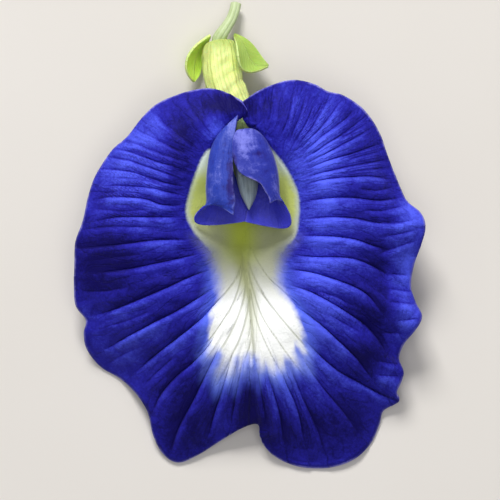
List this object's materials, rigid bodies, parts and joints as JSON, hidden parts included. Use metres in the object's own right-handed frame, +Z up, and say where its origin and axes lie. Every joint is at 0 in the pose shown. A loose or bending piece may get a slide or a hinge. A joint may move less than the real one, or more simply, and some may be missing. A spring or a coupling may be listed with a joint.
{
  "type": "butterfly pea flower",
  "caption": "Butterfly pea blossom lying face up: a broad ruffled blue banner petal, folded wing hoods over a small keel, in a green calyx with leafy bracteoles and a short cut stalk.",
  "frame": {"origin": "middle of the bottom of the box round the flower, on the surface that it lies on", "axes": "+Z up from the surface and out of the flower's face, +Y from the banner's notch towards the calyx and the stalk, +X to the right as the face is seen"},
  "size_m": [0.045, 0.0604, 0.0135],
  "materials": {
    "banner": "velvety deep blue petal with a white and yellow-green throat",
    "wing": "velvety lighter blue petal with lilac edges",
    "keel": "soft matt grey-green petal",
    "stamen": "soft matt cream",
    "pistil": "soft matt green",
    "sepal": "matt yellow-green with fine veins",
    "bracteole": "matt leaf green",
    "stem": "matt green with fine ridges"
  },
  "bodies": {
    "root": {"pedicel": "stem", "calyx": "sepal", "bracteole_right": "bracteole", "bracteole_left": "bracteole", "banner": "banner", "wing_left": "wing", "wing_right": "wing", "keel_left": "keel", "keel_right": "keel", "stamen_tube": "stamen", "free_stamen": "stamen", "pistil": "pistil"}
  },
  "joints": []
}
